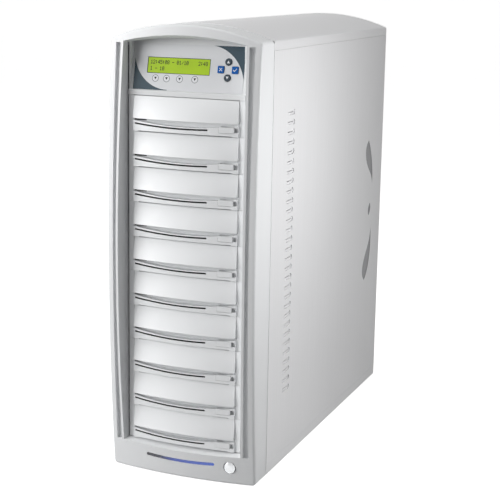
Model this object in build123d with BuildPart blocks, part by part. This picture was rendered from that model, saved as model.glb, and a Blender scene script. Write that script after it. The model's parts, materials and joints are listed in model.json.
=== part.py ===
from build123d import *
import math
import os

# Disc duplicator tower, in millimetres. X is to the right, Y to the back, Z up.
# The origin is the middle of the floor under the tower. The front faces -Y.

# ---- overall size
WIDTH = 193.0
DEPTH = 508.0
HEIGHT = 550.0
FOOT_HEIGHT = 4.0
REAR_STAND_OFF = 3.3          # guards and screws behind the rear sheet
RIM_REACH = 17.8              # how far the bezel's rim stands before the drive covers

# ---- places along Y
FRONT = -DEPTH / 2
COVER_Y = FRONT + RIM_REACH   # front plane of the drive covers' side frames
BEZEL_DEPTH = 32.4            # from the cover plane back to the bezel's rear edge
BEZEL_REAR = COVER_Y + BEZEL_DEPTH
REAR_FACE = DEPTH / 2 - REAR_STAND_OFF

# ---- drive bays
BAY_COUNT = 10
BAY_PITCH = 42.5
BAY_FLOOR = 40.2              # underside of the lowest bay
BAY_TOP = BAY_FLOOR + BAY_COUNT * BAY_PITCH
COVER_W = 149.0
GAP = 0.15                    # between fixed pieces that lie side by side
RUN = 0.35                    # round pieces that move

# ---- sheet metal
SHEET = 1.0
FRAME_SHEET = 1.2
PAN_LIP = 14.2                # height of the base pan's visible band
PAN_TOP = FOOT_HEIGHT + PAN_LIP
SHOULDER = 531.6              # where the top cover's arch starts
PANEL_TOP = SHOULDER - 10.8
ARCH_RISE = HEIGHT - SHOULDER
INNER_HALF = WIDTH / 2 - SHEET
FOLD = 10.0                   # width of folded flanges


def slab(x0, x1, y0, y1, z0, z1):
    """A box between two corners, placed by its middle."""
    place = Pos((x0 + x1) / 2, (y0 + y1) / 2, (z0 + z1) / 2)
    return place * Box(x1 - x0, y1 - y0, z1 - z0, mode=Mode.PRIVATE)


def front_plane(y):
    """The plane at depth y that looks forward, with local x right and local y up."""
    return Plane(origin=(0, y, 0), x_dir=(1, 0, 0), z_dir=(0, -1, 0))


def side_plane(x):
    """The plane at x that looks right, with local x to the back and local y up."""
    return Plane(origin=(x, 0, 0), x_dir=(0, 1, 0), z_dir=(1, 0, 0))


def save(piece, label):
    """Label a finished piece and write it to its own file."""
    piece.label = label
    export_step(piece, f"parts/{label}.step")


def arched_outline(half, low, shoulder, rise):
    """A front outline: upright sides, a flat foot and an arched head."""
    with BuildLine() as outline:
        Line((-half, shoulder), (-half, low))
        Line((-half, low), (half, low))
        Line((half, low), (half, shoulder))
        ThreePointArc((half, shoulder), (0, shoulder + rise), (-half, shoulder))
    return outline.line


# ---- front bezel
BEZEL_HALF = WIDTH / 2 - 0.5
BEZEL_FOOT = 1.0              # underside of the bezel above the floor
BEZEL_HEAD = HEIGHT - 0.6
BEZEL_SHOULDER = SHOULDER - 0.6
PLAN_BOW = 9.0                # bow of the front across the width
SIDE_BOW = 13.7               # bow of the front over the height
BEZEL_WALL = 3.0
BEZEL_SKIN = 6.2              # thickness of the bowed front
COVER_SIDE_GAP = 1.4          # between a drive cover's side and the opening's rear edge
OPEN_HALF = COVER_W / 2 + COVER_SIDE_GAP
RIM_SPREAD = 4.7              # how far the drafted opening widens towards the front
RIM_X = OPEN_HALF + RIM_SPREAD
MID_Z = HEIGHT / 2
APEX_Y = FRONT - PLAN_BOW * (RIM_X / BEZEL_HALF) ** 2
BOW_RADIUS = ((HEIGHT / 2) ** 2 + SIDE_BOW ** 2) / (2 * SIDE_BOW)
BOW_ARC = 6.6                 # degrees either way that cover the whole height
OPEN_REAR = COVER_Y + 1.0
OPEN_LOW = BAY_FLOOR - 0.7
OPEN_SHOULDER = 526.3
OPEN_RISE = 7.0
DRAFT = 15.0
COLLAR_WALL = 2.5
CHANNEL_HALF = BEZEL_HALF - 7.8   # outer edge of the stile's channel
CHANNEL_DEPTH = 4.2
CHANNEL_RIDGE = 3.1           # width of the ridge between channel and opening
CHANNEL_LOW = 37.0
CHANNEL_HIGH = 526.0
BAR_Z = 23.8                  # light bar's middle
BAR_LENGTH = 91.0
BAR_HEIGHT = 4.2
BAR_SAG = 1.6                 # dip of the bar's middle below its ends
BUTTON_X = 64.7
BUTTON_Z = 22.7
BUTTON_R = 7.2
BUTTON_RING = 0.6             # dark ring round the power button
BOSS_WALL = 2.2
BOSS_REAR = COVER_Y + 6.0
EDGE_R = 3.6
CORNER_R = 5.0
BLOCK_REACH = 80.0

# ---- light bar and power button
BAR_SINK = 0.6                # the bar's face below the bezel's
BUTTON_DOME = 1.3
BUTTON_SKIRT = 6.0
STEM_R = 2.5
FIT = 0.05                    # radial clearance of a running fit
SWITCH_FLANGE = 2.0
SWITCH_DEPTH = 11.0
SWITCH_SIDE = 13.0

# ---- drive cover, heights above the bay's floor and reaches before the cover plane
COVER_DEPTH = 6.0
PANEL_HALF = 67.35
PANEL_LOW = 15.0
PANEL_HIGH = BAY_PITCH - 0.6
PANEL_DEPTH = 4.0             # from the cover plane back to the cover's back plate
PANEL_LOW_END = 3.5
PANEL_LOW_MID = 9.0
PANEL_HIGH_END = 0.3
PANEL_HIGH_MID = 1.3
LIP_END = 13.3
LIP_MID = 8.3
LIP_END_REACH = 2.4
LIP_MID_REACH = 6.7
SCOOP_DEPTH = 1.2
SLOT_END = 8.6
SLOT_MID = 5.1
SLOT_HEIGHT = 1.9
SLOT_LEFT = -65.5
SLOT_RIGHT = 30.0
POCKET_CORNERS = ((-67.0, 12.9), (-67.0, PANEL_LOW), (-52.0, PANEL_LOW), (-60.0, 13.4))
NOTCH_W = 120.5
NOTCH_H = 0.9
EJECT_X = 53.0
EJECT_Z = 7.7
EJECT_W = 18.2
EJECT_H = 6.6
EJECT_PROUD = 0.4
TRAY_W = 129.0
TRAY_H = 8.0
TRAY_Z = 29.0
TRAY_CLEAR = 0.7
TRAY_LENGTH = 152.0
TRAY_FLOOR = 4.2
DISC_R = 61.0
DISC_WELL = 1.6
SMALL_DISC_R = 41.0
SMALL_WELL = 1.2
DISC_SETBACK = 68.0
SPINDLE_SLOT_W = 44.0

# ---- drive casings
CASING_HALF = 73.0
CASING_HEIGHT = BAY_PITCH - 1.2
CASING_DEPTH = 170.0
RAIL_H = 3.5
DRIVE_SCREW_OFFSETS = (47.4, 126.4)
DRIVE_SCREW_Z = 10.6
SCREW_R = 1.5
HEAD_R = 3.2
HEAD_H = 1.3
FRAME_HALF = WIDTH / 2 - FRAME_SHEET - 0.1
PAN_FLOOR = FOOT_HEIGHT + FRAME_SHEET + 0.1
CABLE_SLOT_Z = 486.0
LIP_INSET = 14.0
COVER_BEND = 3.0

# ---- control housing, on a face that leans back
FACE_LEAN = 11.9              # degrees
FACE_SETBACK = 1.2
SILL_H = 6.8
SILL_REACH = 1.0
HOUSING_TOP = 534.8
HOUSING_WALL = 3.0
CHEEK = 1.9
FACE_SKIN = 2.5
OVERLAY_W = 139.2
OVERLAY_H = 54.3
OVERLAY_T = 0.5
LCD_MIDDLE = (-12.9, 29.0)
LCD_W = 80.2
LCD_H = 18.8
LCD_SINK = 0.3
LCD_BACK = 4.0
UP_KEY = (49.8, 36.2)
DOWN_KEY = (49.8, 17.8)
ESCAPE_KEY = (40.9, 27.1)
ENTER_KEY = (58.7, 27.1)
ROUND_KEY_R = 4.1
SQUARE_KEY_W = 7.8
SQUARE_KEY_H = 8.2
KEY_PROUD = 0.9
KEY_FLANGE = 0.8
BOARD_BEHIND = 9.0
BOARD_W = 134.0
BOARD_H = 50.0
BOARD_T = 1.6
BOARD_POSTS = [(-63, 10), (63, 10), (-63, 48), (63, 48)]
BOARD_MIDDLE = 28.5
POST_R = 2.5
BOARD_CHIPS = (((-30, 28), 22, 22), ((5, 20), 12, 16), ((5, 40), 16, 8), ((38, 28), 18, 14))

# ---- side panels
LOUVRE_COUNT = 30
LOUVRE_PITCH = 11.97
LOUVRE_TOP = 444.8
LOUVRE_SETBACK = 94.0
LOUVRE_L = 24.0
LOUVRE_H = 6.4
LOUVRE_SLIT = 0.7
PRESS_DEPTH = 1.4
DROP_DEPTH = 0.6
# each recess: its outer edge from head to tail, then its inner edge back to the head
UPPER_DROP = (
    ((419.4, 373.8), (434.5, 350.0), (441.8, 325.0), (442.3, 296.0)),
    ((442.3, 296.0), (434.0, 322.0), (413.0, 341.0), (406.5, 357.5), (419.4, 373.8)),
)
OVAL = (
    ((434.9, 280.4), (437.6, 273.5), (429.7, 261.7)),
    ((429.7, 261.7), (426.2, 269.0), (434.9, 280.4)),
)
LOWER_DROP = (
    ((418.2, 166.9), (433.5, 182.0), (443.2, 209.0), (442.0, 246.5)),
    ((442.0, 246.5), (435.5, 223.0), (414.5, 199.0), (407.3, 184.0), (418.2, 166.9)),
)

# ---- power supply, fans, feet
PSU_W = 150.0
PSU_H = 86.0
PSU_DEPTH = 140.0
PSU_Z = 468.0
MODULE_X = -44.0
MODULE_Z = 485.0
MODULE_W = 48.0
MODULE_H = 26.0
MODULE_DEPTH = 18.0
MODULE_FLANGE = 1.2
SOCKET_X = -52.0
SOCKET_W = 24.4
SOCKET_H = 16.6
SOCKET_CUT = 4.0              # slanted upper corners
SOCKET_CORNERS = (
    (-SOCKET_W / 2, -SOCKET_H / 2),
    (SOCKET_W / 2, -SOCKET_H / 2),
    (SOCKET_W / 2, SOCKET_H / 2 - SOCKET_CUT),
    (SOCKET_W / 2 - SOCKET_CUT, SOCKET_H / 2),
    (-SOCKET_W / 2 + SOCKET_CUT, SOCKET_H / 2),
    (-SOCKET_W / 2, SOCKET_H / 2 - SOCKET_CUT),
)
SOCKET_DEPTH = 15.0
BLADE_L = 8.0
ROCKER_X = -29.0
ROCKER_W = 12.0
ROCKER_H = 19.0
ROCKER_POCKET = 9.0
ROCKER_SETBACK = 3.5
ROCKER_PROFILE = ((-3.0, -3.0), (2.0, -8.6), (4.6, -8.6), (3.0, 0.0), (6.4, 8.0), (3.0, 8.8), (-3.0, 3.0))
PIVOT_R = 1.2
VENT_X = 32.0
VENT_PITCH = 8.0
VENT_COLS = 7
VENT_ROWS = 8
FAN_ZS = (128.0, 300.0)
FAN_SIDE = 120.0
FAN_DEPTH = 25.0
FAN_HOLES = 105.0
FAN_BORE_R = 57.0
FAN_HUB_R = 19.5
FAN_STRUT = 3.0
FAN_POST_R = 3.0
FAN_POST = 15.0
WHEEL_DEPTH = 19.0
BLADE_TIP_R = 55.5
BLADE_COUNT = 7
BLADE_CHORD = 26.0
BLADE_T = 1.8
BLADE_PITCH = 35.0
GUARD_T = 2.0
GUARD_WIRE = 1.8
GUARD_RINGS = 6
GUARD_HUB_R = 12.0
FOOT_R = 9.0
FOOT_X = 74.0
FOOT_INSET = 32.0
PSU_SCREWS = [(-69, 431), (69, 431), (-69, 505), (69, 505)]
PANEL_SCREWS = [(side * 86, z) for side in (-1, 1) for z in (60, 230, 400)]
FAN_SCREWS = [
    (side * FAN_HOLES / 2, z + lift * FAN_HOLES / 2)
    for z in FAN_ZS
    for side in (-1, 1)
    for lift in (-1, 1)
]

os.makedirs("parts", exist_ok=True)


def bowed_block(inset, side_inset):
    """A block whose front is bowed both ways: a plan section turned about a far cross axis."""
    apex = APEX_Y + inset
    half = BEZEL_HALF - side_inset
    edge = apex + PLAN_BOW * (half / BEZEL_HALF) ** 2
    centre = (0, APEX_Y + BOW_RADIUS, MID_Z)
    tilt = math.radians(BOW_ARC)
    section = Plane(origin=centre, x_dir=(1, 0, 0), z_dir=(0, math.sin(tilt), math.cos(tilt)))
    rear = BEZEL_REAR + 12 - centre[1]
    with BuildPart() as block:
        with BuildSketch(section):
            with BuildLine():
                ThreePointArc((-half, edge - centre[1]), (0, apex - centre[1]), (half, edge - centre[1]))
                Line((half, edge - centre[1]), (half, rear))
                Line((half, rear), (-half, rear))
                Line((-half, rear), (-half, edge - centre[1]))
            make_face()
        revolve(axis=Axis(centre, (1, 0, 0)), revolution_arc=2 * BOW_ARC)
    return block.part


def opening_block(grow, front_reach=45.0, low=None):
    """The bezel's drafted opening, or the same grown outward for the wall round it."""
    foot = OPEN_LOW if low is None else low
    with BuildPart() as block:
        with BuildSketch(front_plane(OPEN_REAR)):
            with BuildLine():
                add(arched_outline(OPEN_HALF + grow, foot - grow, OPEN_SHOULDER + grow, OPEN_RISE))
            make_face()
        extrude(amount=front_reach, taper=-DRAFT)
    return block.part


def bar_outline(inset):
    """The light bar's front outline, a slot bent down in its middle."""
    half = (BAR_LENGTH - BAR_HEIGHT) / 2
    with BuildLine() as middle:
        ThreePointArc((-half, BAR_Z + BAR_SAG / 2), (0, BAR_Z - BAR_SAG / 2), (half, BAR_Z + BAR_SAG / 2))
    with BuildSketch() as outline:
        SlotArc(middle.edge(), BAR_HEIGHT - 2 * inset)
    return outline.sketch


full_bow = bowed_block(0, 0)
inner_bow = bowed_block(BEZEL_SKIN, BEZEL_WALL)
channel_bow = bowed_block(CHANNEL_DEPTH, 0)

with BuildPart() as bezel_blank:
    with BuildSketch(front_plane(BEZEL_REAR)):
        with BuildLine():
            add(arched_outline(BEZEL_HALF, BEZEL_FOOT, BEZEL_SHOULDER, BEZEL_HEAD - BEZEL_SHOULDER))
        make_face()
        fillet(vertices(), radius=CORNER_R)
    extrude(amount=BLOCK_REACH)
    add(full_bow, mode=Mode.INTERSECT)
    fillet(bezel_blank.faces().sort_by(Axis.Y)[0].edges(), radius=EDGE_R)

with BuildPart() as bezel_cavity:
    with BuildSketch(front_plane(BEZEL_REAR + 1)):
        with BuildLine():
            add(arched_outline(
                BEZEL_HALF - BEZEL_WALL,
                BEZEL_FOOT + BEZEL_WALL,
                BEZEL_SHOULDER - BEZEL_WALL / 2,
                BEZEL_HEAD - BEZEL_SHOULDER - BEZEL_WALL / 2,
            ))
        make_face()
    extrude(amount=BLOCK_REACH)
    add(inner_bow, mode=Mode.INTERSECT)
    # the wall round the opening and the boss behind the power button stay
    add(opening_block(COLLAR_WALL), mode=Mode.SUBTRACT)
    with BuildSketch(front_plane(BOSS_REAR)):
        with Locations((BUTTON_X, BUTTON_Z)):
            Circle(BUTTON_R + BUTTON_RING + BOSS_WALL)
    extrude(amount=BLOCK_REACH, mode=Mode.SUBTRACT)

with BuildPart() as channels:
    for side in (-1, 1):
        x0, x1 = sorted((side * (OPEN_HALF - COLLAR_WALL), side * CHANNEL_HALF))
        add(slab(x0, x1, FRONT - BEZEL_SKIN, COVER_Y + 5, CHANNEL_LOW, CHANNEL_HIGH))
    add(channel_bow, mode=Mode.SUBTRACT)
    add(opening_block(CHANNEL_RIDGE, low=CHANNEL_LOW - 10), mode=Mode.SUBTRACT)

with BuildPart() as front_bezel:
    add(bezel_blank.part)
    add(bezel_cavity.part, mode=Mode.SUBTRACT)
    add(channels.part, mode=Mode.SUBTRACT)
    add(opening_block(0), mode=Mode.SUBTRACT)
    with BuildSketch(front_plane(BOSS_REAR)):
        with Locations((BUTTON_X, BUTTON_Z)):
            Circle(BUTTON_R + BUTTON_RING)
        add(bar_outline(0))
    extrude(amount=BLOCK_REACH, mode=Mode.SUBTRACT)
save(front_bezel.part.fix(), "front_bezel")

with BuildPart() as light_bar:
    with BuildSketch(front_plane(COVER_Y - 3)):
        add(bar_outline(GAP))
    extrude(amount=BLOCK_REACH)
    add(bowed_block(BAR_SINK, 0), mode=Mode.INTERSECT)
save(light_bar.part, "light_bar")

# ---- power button and the switch behind it
button_face = APEX_Y + SIDE_BOW * ((BUTTON_Z - MID_Z) / MID_Z) ** 2 + PLAN_BOW * (BUTTON_X / BEZEL_HALF) ** 2
switch_rear = BOSS_REAR + SWITCH_FLANGE + SWITCH_DEPTH
with BuildPart() as power_button:
    with BuildSketch(side_plane(BUTTON_X)):
        with BuildLine():
            ThreePointArc(
                (button_face - BUTTON_DOME, BUTTON_Z),
                (button_face - 0.75 * BUTTON_DOME, BUTTON_Z + BUTTON_R / 2),
                (button_face, BUTTON_Z + BUTTON_R),
            )
            Line((button_face, BUTTON_Z + BUTTON_R), (button_face + BUTTON_SKIRT, BUTTON_Z + BUTTON_R))
            Line(
                (button_face + BUTTON_SKIRT, BUTTON_Z + BUTTON_R),
                (button_face + BUTTON_SKIRT, BUTTON_Z + STEM_R),
            )
            Line((button_face + BUTTON_SKIRT, BUTTON_Z + STEM_R), (switch_rear - 4, BUTTON_Z + STEM_R))
            Line((switch_rear - 4, BUTTON_Z + STEM_R), (switch_rear - 4, BUTTON_Z))
            Line((switch_rear - 4, BUTTON_Z), (button_face - BUTTON_DOME, BUTTON_Z))
        make_face()
    revolve(axis=Axis((BUTTON_X, 0, BUTTON_Z), (0, 1, 0)))
save(power_button.part, "power_button")

with BuildPart() as power_switch:
    with BuildSketch(front_plane(BOSS_REAR + SWITCH_FLANGE)):
        with Locations((BUTTON_X, BUTTON_Z)):
            Circle(BUTTON_R + BUTTON_RING + BOSS_WALL)
    extrude(amount=SWITCH_FLANGE)
    with BuildSketch(front_plane(switch_rear)):
        with Locations((BUTTON_X, BUTTON_Z)):
            RectangleRounded(SWITCH_SIDE, SWITCH_SIDE, 1.5)
    extrude(amount=SWITCH_DEPTH)
    with BuildSketch(front_plane(switch_rear - 2)):
        with Locations((BUTTON_X, BUTTON_Z)):
            Circle(STEM_R + FIT)
    extrude(amount=BLOCK_REACH, mode=Mode.SUBTRACT)
save(power_switch.part, "power_switch")


# ---- drive covers, front panels, trays and eject buttons, made for the lowest bay
def bowed_plate(half, end_reach, mid_reach, rear):
    """A plan outline with a straight back and a front that bows forward in the middle."""
    with BuildLine() as outline:
        Line((-half, COVER_Y - end_reach), (-half, rear))
        Line((-half, rear), (half, rear))
        Line((half, rear), (half, COVER_Y - end_reach))
        ThreePointArc((half, COVER_Y - end_reach), (0, COVER_Y - mid_reach), (-half, COVER_Y - end_reach))
    return outline.line


def smile_radius(half, rise):
    """Radius of a curve that dips in its middle by rise below its ends at half."""
    return (half ** 2 + rise ** 2) / (2 * rise)


bay_plane = front_plane(COVER_Y + COVER_DEPTH)
lip_radius = smile_radius(PANEL_HALF, LIP_END - LIP_MID)
slot_radius = smile_radius(PANEL_HALF, SLOT_END - SLOT_MID)

with BuildPart() as cover:
    add(slab(-COVER_W / 2, COVER_W / 2, COVER_Y, COVER_Y + COVER_DEPTH, BAY_FLOOR + 0.1, BAY_FLOOR + BAY_PITCH - 0.1))
    with BuildSketch(Plane.XY.offset(BAY_FLOOR + 0.1)):
        with BuildLine():
            add(bowed_plate(PANEL_HALF, LIP_END_REACH, LIP_MID_REACH, COVER_Y + 1))
        make_face()
    extrude(amount=PANEL_LOW - 0.4)
    # window of the front panel, and the finger scoop above the lip's smile
    window_half = PANEL_HALF + RUN
    add(
        slab(
            -window_half, window_half, COVER_Y - 20, COVER_Y + PANEL_DEPTH,
            BAY_FLOOR + PANEL_LOW - RUN, BAY_FLOOR + BAY_PITCH,
        ),
        mode=Mode.SUBTRACT,
    )
    with BuildSketch(front_plane(COVER_Y + SCOOP_DEPTH)):
        with Locations((0, BAY_FLOOR + LIP_MID + lip_radius)):
            Circle(lip_radius)
        with Locations((0, BAY_FLOOR + PANEL_LOW / 2)):
            Rectangle(2 * window_half, PANEL_LOW, mode=Mode.INTERSECT)
    extrude(amount=30, mode=Mode.SUBTRACT)
    # the pocket under the panel's left end, and the curved slot along the lip, both cut through
    with BuildSketch(bay_plane):
        with BuildLine():
            Polyline(*[(x, BAY_FLOOR + z) for x, z in POCKET_CORNERS], close=True)
        make_face()
    extrude(amount=30, mode=Mode.SUBTRACT)
    with BuildSketch(bay_plane):
        with Locations((0, BAY_FLOOR + SLOT_MID + slot_radius)):
            Circle(slot_radius)
            Circle(slot_radius - SLOT_HEIGHT, mode=Mode.SUBTRACT)
        with Locations(((SLOT_LEFT + SLOT_RIGHT) / 2, BAY_FLOOR + LIP_END / 2)):
            Rectangle(SLOT_RIGHT - SLOT_LEFT, LIP_END, mode=Mode.INTERSECT)
    extrude(amount=30, mode=Mode.SUBTRACT)
    # the eject button's window and the dark notch to its right
    with BuildSketch(bay_plane):
        with Locations((EJECT_X, BAY_FLOOR + EJECT_Z)):
            RectangleRounded(EJECT_W + 2 * RUN, EJECT_H + 2 * RUN, 0.8)
    extrude(amount=30, mode=Mode.SUBTRACT)
    with BuildSketch(front_plane(COVER_Y + 1.5)):
        with Locations((EJECT_X + EJECT_W / 2 + 2.2, BAY_FLOOR + EJECT_Z)):
            RectangleRounded(5.4, EJECT_H - 1, 1.8)
    extrude(amount=30, mode=Mode.SUBTRACT)
    # the shallow notch along the lower edge, and the tray's slot in the back plate
    add(
        slab(-NOTCH_W / 2, NOTCH_W / 2, COVER_Y - 20, COVER_Y + 1.5, BAY_FLOOR, BAY_FLOOR + NOTCH_H),
        mode=Mode.SUBTRACT,
    )
    with BuildSketch(bay_plane):
        with Locations((0, BAY_FLOOR + TRAY_Z)):
            RectangleRounded(TRAY_W + 2 * TRAY_CLEAR, TRAY_H + 2 * TRAY_CLEAR, 1.0)
    extrude(amount=COVER_DEPTH, mode=Mode.SUBTRACT)

bay_steps = [(0, 0, i * BAY_PITCH) for i in range(BAY_COUNT)]
with BuildPart() as drive_covers:
    with Locations(*bay_steps):
        add(cover.part)
save(drive_covers.part, "drive_covers")

with BuildPart() as panel:
    with BuildSketch(Plane.XY.offset(BAY_FLOOR + PANEL_LOW)):
        with BuildLine():
            add(bowed_plate(PANEL_HALF, PANEL_LOW_END, PANEL_LOW_MID, COVER_Y + PANEL_DEPTH - RUN))
        make_face()
    with BuildSketch(Plane.XY.offset(BAY_FLOOR + PANEL_HIGH)):
        with BuildLine():
            add(bowed_plate(PANEL_HALF, PANEL_HIGH_END, PANEL_HIGH_MID, COVER_Y + PANEL_DEPTH - RUN))
        make_face()
    loft(ruled=True)
    lower_corners = panel.faces().sort_by(Axis.Z)[0].edges().filter_by(Axis.Y)
    fillet(lower_corners, radius=1.6)
    fillet(panel.faces().sort_by(Axis.Y)[0].edges(), radius=0.6)

tray_front = COVER_Y + PANEL_DEPTH - RUN
disc_y = tray_front + DISC_SETBACK
tray_top = BAY_FLOOR + TRAY_Z + TRAY_H / 2
with BuildPart() as tray:
    with BuildSketch(Plane.XY.offset(tray_top - TRAY_H)):
        with Locations((0, tray_front + TRAY_LENGTH / 2)):
            Rectangle(TRAY_W, TRAY_LENGTH)
    extrude(amount=TRAY_H)
    fillet(tray.edges().filter_by(Axis.Z).sort_by(Axis.Y)[-2:], radius=6)
    with BuildSketch(Plane.XY.offset(tray_top)):
        with Locations((0, disc_y)):
            Circle(DISC_R)
    extrude(amount=-DISC_WELL, mode=Mode.SUBTRACT)
    with BuildSketch(Plane.XY.offset(tray_top - DISC_WELL)):
        with Locations((0, disc_y)):
            Circle(SMALL_DISC_R)
    extrude(amount=-SMALL_WELL, mode=Mode.SUBTRACT)
    # the opening that lets the spindle and the lens reach the disc
    with BuildSketch(Plane.XY.offset(tray_top)):
        with Locations((0, disc_y + 16)):
            SlotOverall(76, SPINDLE_SLOT_W, rotation=90)
    extrude(amount=-TRAY_H, mode=Mode.SUBTRACT)
    # the hollow underside leaves a rim and keeps the well's floor
    for side in (-1, 1):
        x0, x1 = sorted((side * (SPINDLE_SLOT_W / 2 + 4), side * (TRAY_W / 2 - 5)))
        add(
            slab(x0, x1, tray_front + 6, tray_front + TRAY_LENGTH - 10, tray_top - TRAY_H, tray_top - TRAY_FLOOR),
            mode=Mode.SUBTRACT,
        )

with BuildPart() as eject:
    with BuildSketch(Plane.XY.offset(BAY_FLOOR + EJECT_Z - EJECT_H / 2)):
        with BuildLine():
            add(bowed_plate(
                PANEL_HALF, LIP_END_REACH + EJECT_PROUD, LIP_MID_REACH + EJECT_PROUD,
                COVER_Y + COVER_DEPTH + RUN,
            ))
        make_face()
    extrude(amount=EJECT_H)
    with BuildSketch(front_plane(COVER_Y + COVER_DEPTH + 5)):
        with Locations((EJECT_X, BAY_FLOOR + EJECT_Z)):
            RectangleRounded(EJECT_W, EJECT_H, 0.5)
    extrude(amount=30, mode=Mode.INTERSECT)
    # the flange behind the cover keeps the button in its window
    with BuildSketch(front_plane(COVER_Y + COVER_DEPTH + RUN + 1)):
        with Locations((EJECT_X, BAY_FLOOR + EJECT_Z)):
            Rectangle(EJECT_W + 3, EJECT_H + 1.6)
    extrude(amount=1)

for number in range(1, BAY_COUNT + 1):
    step = Pos(0, 0, (BAY_COUNT - number) * BAY_PITCH)
    save(step * panel.part, f"front_panel_{number:02d}")
    save(step * tray.part, f"disc_tray_{number:02d}")
    save(step * eject.part, f"eject_button_{number:02d}")

# ---- drive casings and the cage that holds them
casing_front = COVER_Y + COVER_DEPTH + GAP
casing_rear = casing_front + CASING_DEPTH
casing_low = BAY_FLOOR + 0.6
casing_high = casing_low + CASING_HEIGHT
screw_ys = [casing_front + offset for offset in DRIVE_SCREW_OFFSETS]
rail_top = tray_top - TRAY_H - RUN
with BuildPart() as casing:
    add(slab(-CASING_HALF, CASING_HALF, casing_front, casing_rear, casing_low, casing_high))
    add(
        slab(
            -CASING_HALF + SHEET, CASING_HALF - SHEET, casing_front - 1, casing_rear - SHEET,
            casing_low + SHEET, casing_high - SHEET,
        ),
        mode=Mode.SUBTRACT,
    )
    for side in (-1, 1):
        x0, x1 = sorted((side * (TRAY_W / 2 - 7), side * (CASING_HALF - SHEET)))
        add(slab(x0, x1, casing_front + 4, casing_rear - SHEET, rail_top - RAIL_H, rail_top))
    add(slab(-20, 20, casing_rear, casing_rear + 4, casing_low + 4, casing_low + 9))
    with BuildSketch(side_plane(-CASING_HALF - 1)):
        with Locations(*[(y, BAY_FLOOR + DRIVE_SCREW_Z) for y in screw_ys]):
            Circle(SCREW_R + GAP)
    extrude(amount=2 * CASING_HALF + 2, mode=Mode.SUBTRACT)
with BuildPart() as drive_casings:
    with Locations(*bay_steps):
        add(casing.part)
save(drive_casings.part, "drive_casings")

cage_half = CASING_HALF + GAP + FRAME_SHEET
cage_low = BAY_FLOOR - FRAME_SHEET - 0.2
cage_high = BAY_TOP + FRAME_SHEET + 0.2
cage_rear = casing_rear - 6
with BuildPart() as drive_cage:
    add(slab(-cage_half, cage_half, casing_front, cage_rear, cage_low, cage_high))
    add(
        slab(
            -cage_half + FRAME_SHEET, cage_half - FRAME_SHEET, casing_front - 1, cage_rear + 1,
            cage_low + FRAME_SHEET, cage_high - FRAME_SHEET,
        ),
        mode=Mode.SUBTRACT,
    )
    with BuildSketch(side_plane(-cage_half - 1)):
        for _, _, lift in bay_steps:
            with Locations(*[(y, BAY_FLOOR + DRIVE_SCREW_Z + lift) for y in screw_ys]):
                Circle(SCREW_R + GAP)
    extrude(amount=2 * cage_half + 2, mode=Mode.SUBTRACT)
save(drive_cage.part, "drive_cage")

with BuildPart() as front_frame:
    add(slab(-FRAME_HALF, FRAME_HALF, BEZEL_REAR, BEZEL_REAR + FRAME_SHEET, PAN_FLOOR, PANEL_TOP))
    for side in (-1, 1):
        x0, x1 = sorted((side * (FRAME_HALF - FRAME_SHEET), side * FRAME_HALF))
        add(slab(x0, x1, BEZEL_REAR, BEZEL_REAR + FOLD, PAN_FLOOR, PANEL_TOP))
    add(slab(-FRAME_HALF, FRAME_HALF, BEZEL_REAR, BEZEL_REAR + FOLD, PAN_FLOOR, PAN_FLOOR + FRAME_SHEET))
    add(
        slab(
            -cage_half - GAP, cage_half + GAP, BEZEL_REAR - 1, BEZEL_REAR + FRAME_SHEET + 1,
            cage_low - GAP, cage_high + GAP,
        ),
        mode=Mode.SUBTRACT,
    )
    # the slot that lets the controller's cables through
    add(slab(-20, 20, BEZEL_REAR - 1, BEZEL_REAR + 2, CABLE_SLOT_Z, CABLE_SLOT_Z + 16), mode=Mode.SUBTRACT)
save(front_frame.part, "front_frame")

# ---- control housing, overlay, display, keys and board, on a plane that leans back
face_low = BAY_TOP + SILL_H
lean = Plane(
    origin=(0, COVER_Y + FACE_SETBACK, face_low),
    x_dir=(1, 0, 0),
    z_dir=(0, -math.cos(math.radians(FACE_LEAN)), math.sin(math.radians(FACE_LEAN))),
)
HOUSING_HALF = COVER_W / 2


def lean_y(z, behind=0.0):
    """Depth of the leaning face at height z, or of a plane that far behind it."""
    turn = math.radians(FACE_LEAN)
    return COVER_Y + FACE_SETBACK + (z - face_low) * math.tan(turn) + behind / math.cos(turn)


def lean_sketch_plane(out):
    """The leaning face moved outward by that much."""
    return lean.offset(out)


key_spots = {"up_key": UP_KEY, "down_key": DOWN_KEY, "escape_key": ESCAPE_KEY, "enter_key": ENTER_KEY}


def key_outline(name, grow):
    """The key's face outline, grown for its hole or its flange."""
    with BuildSketch() as outline:
        with Locations(key_spots[name]):
            if name in ("up_key", "down_key"):
                Circle(ROUND_KEY_R + grow)
            else:
                RectangleRounded(SQUARE_KEY_W + 2 * grow, SQUARE_KEY_H + 2 * grow, 1.0 + max(grow, 0))
    return outline.sketch


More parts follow.
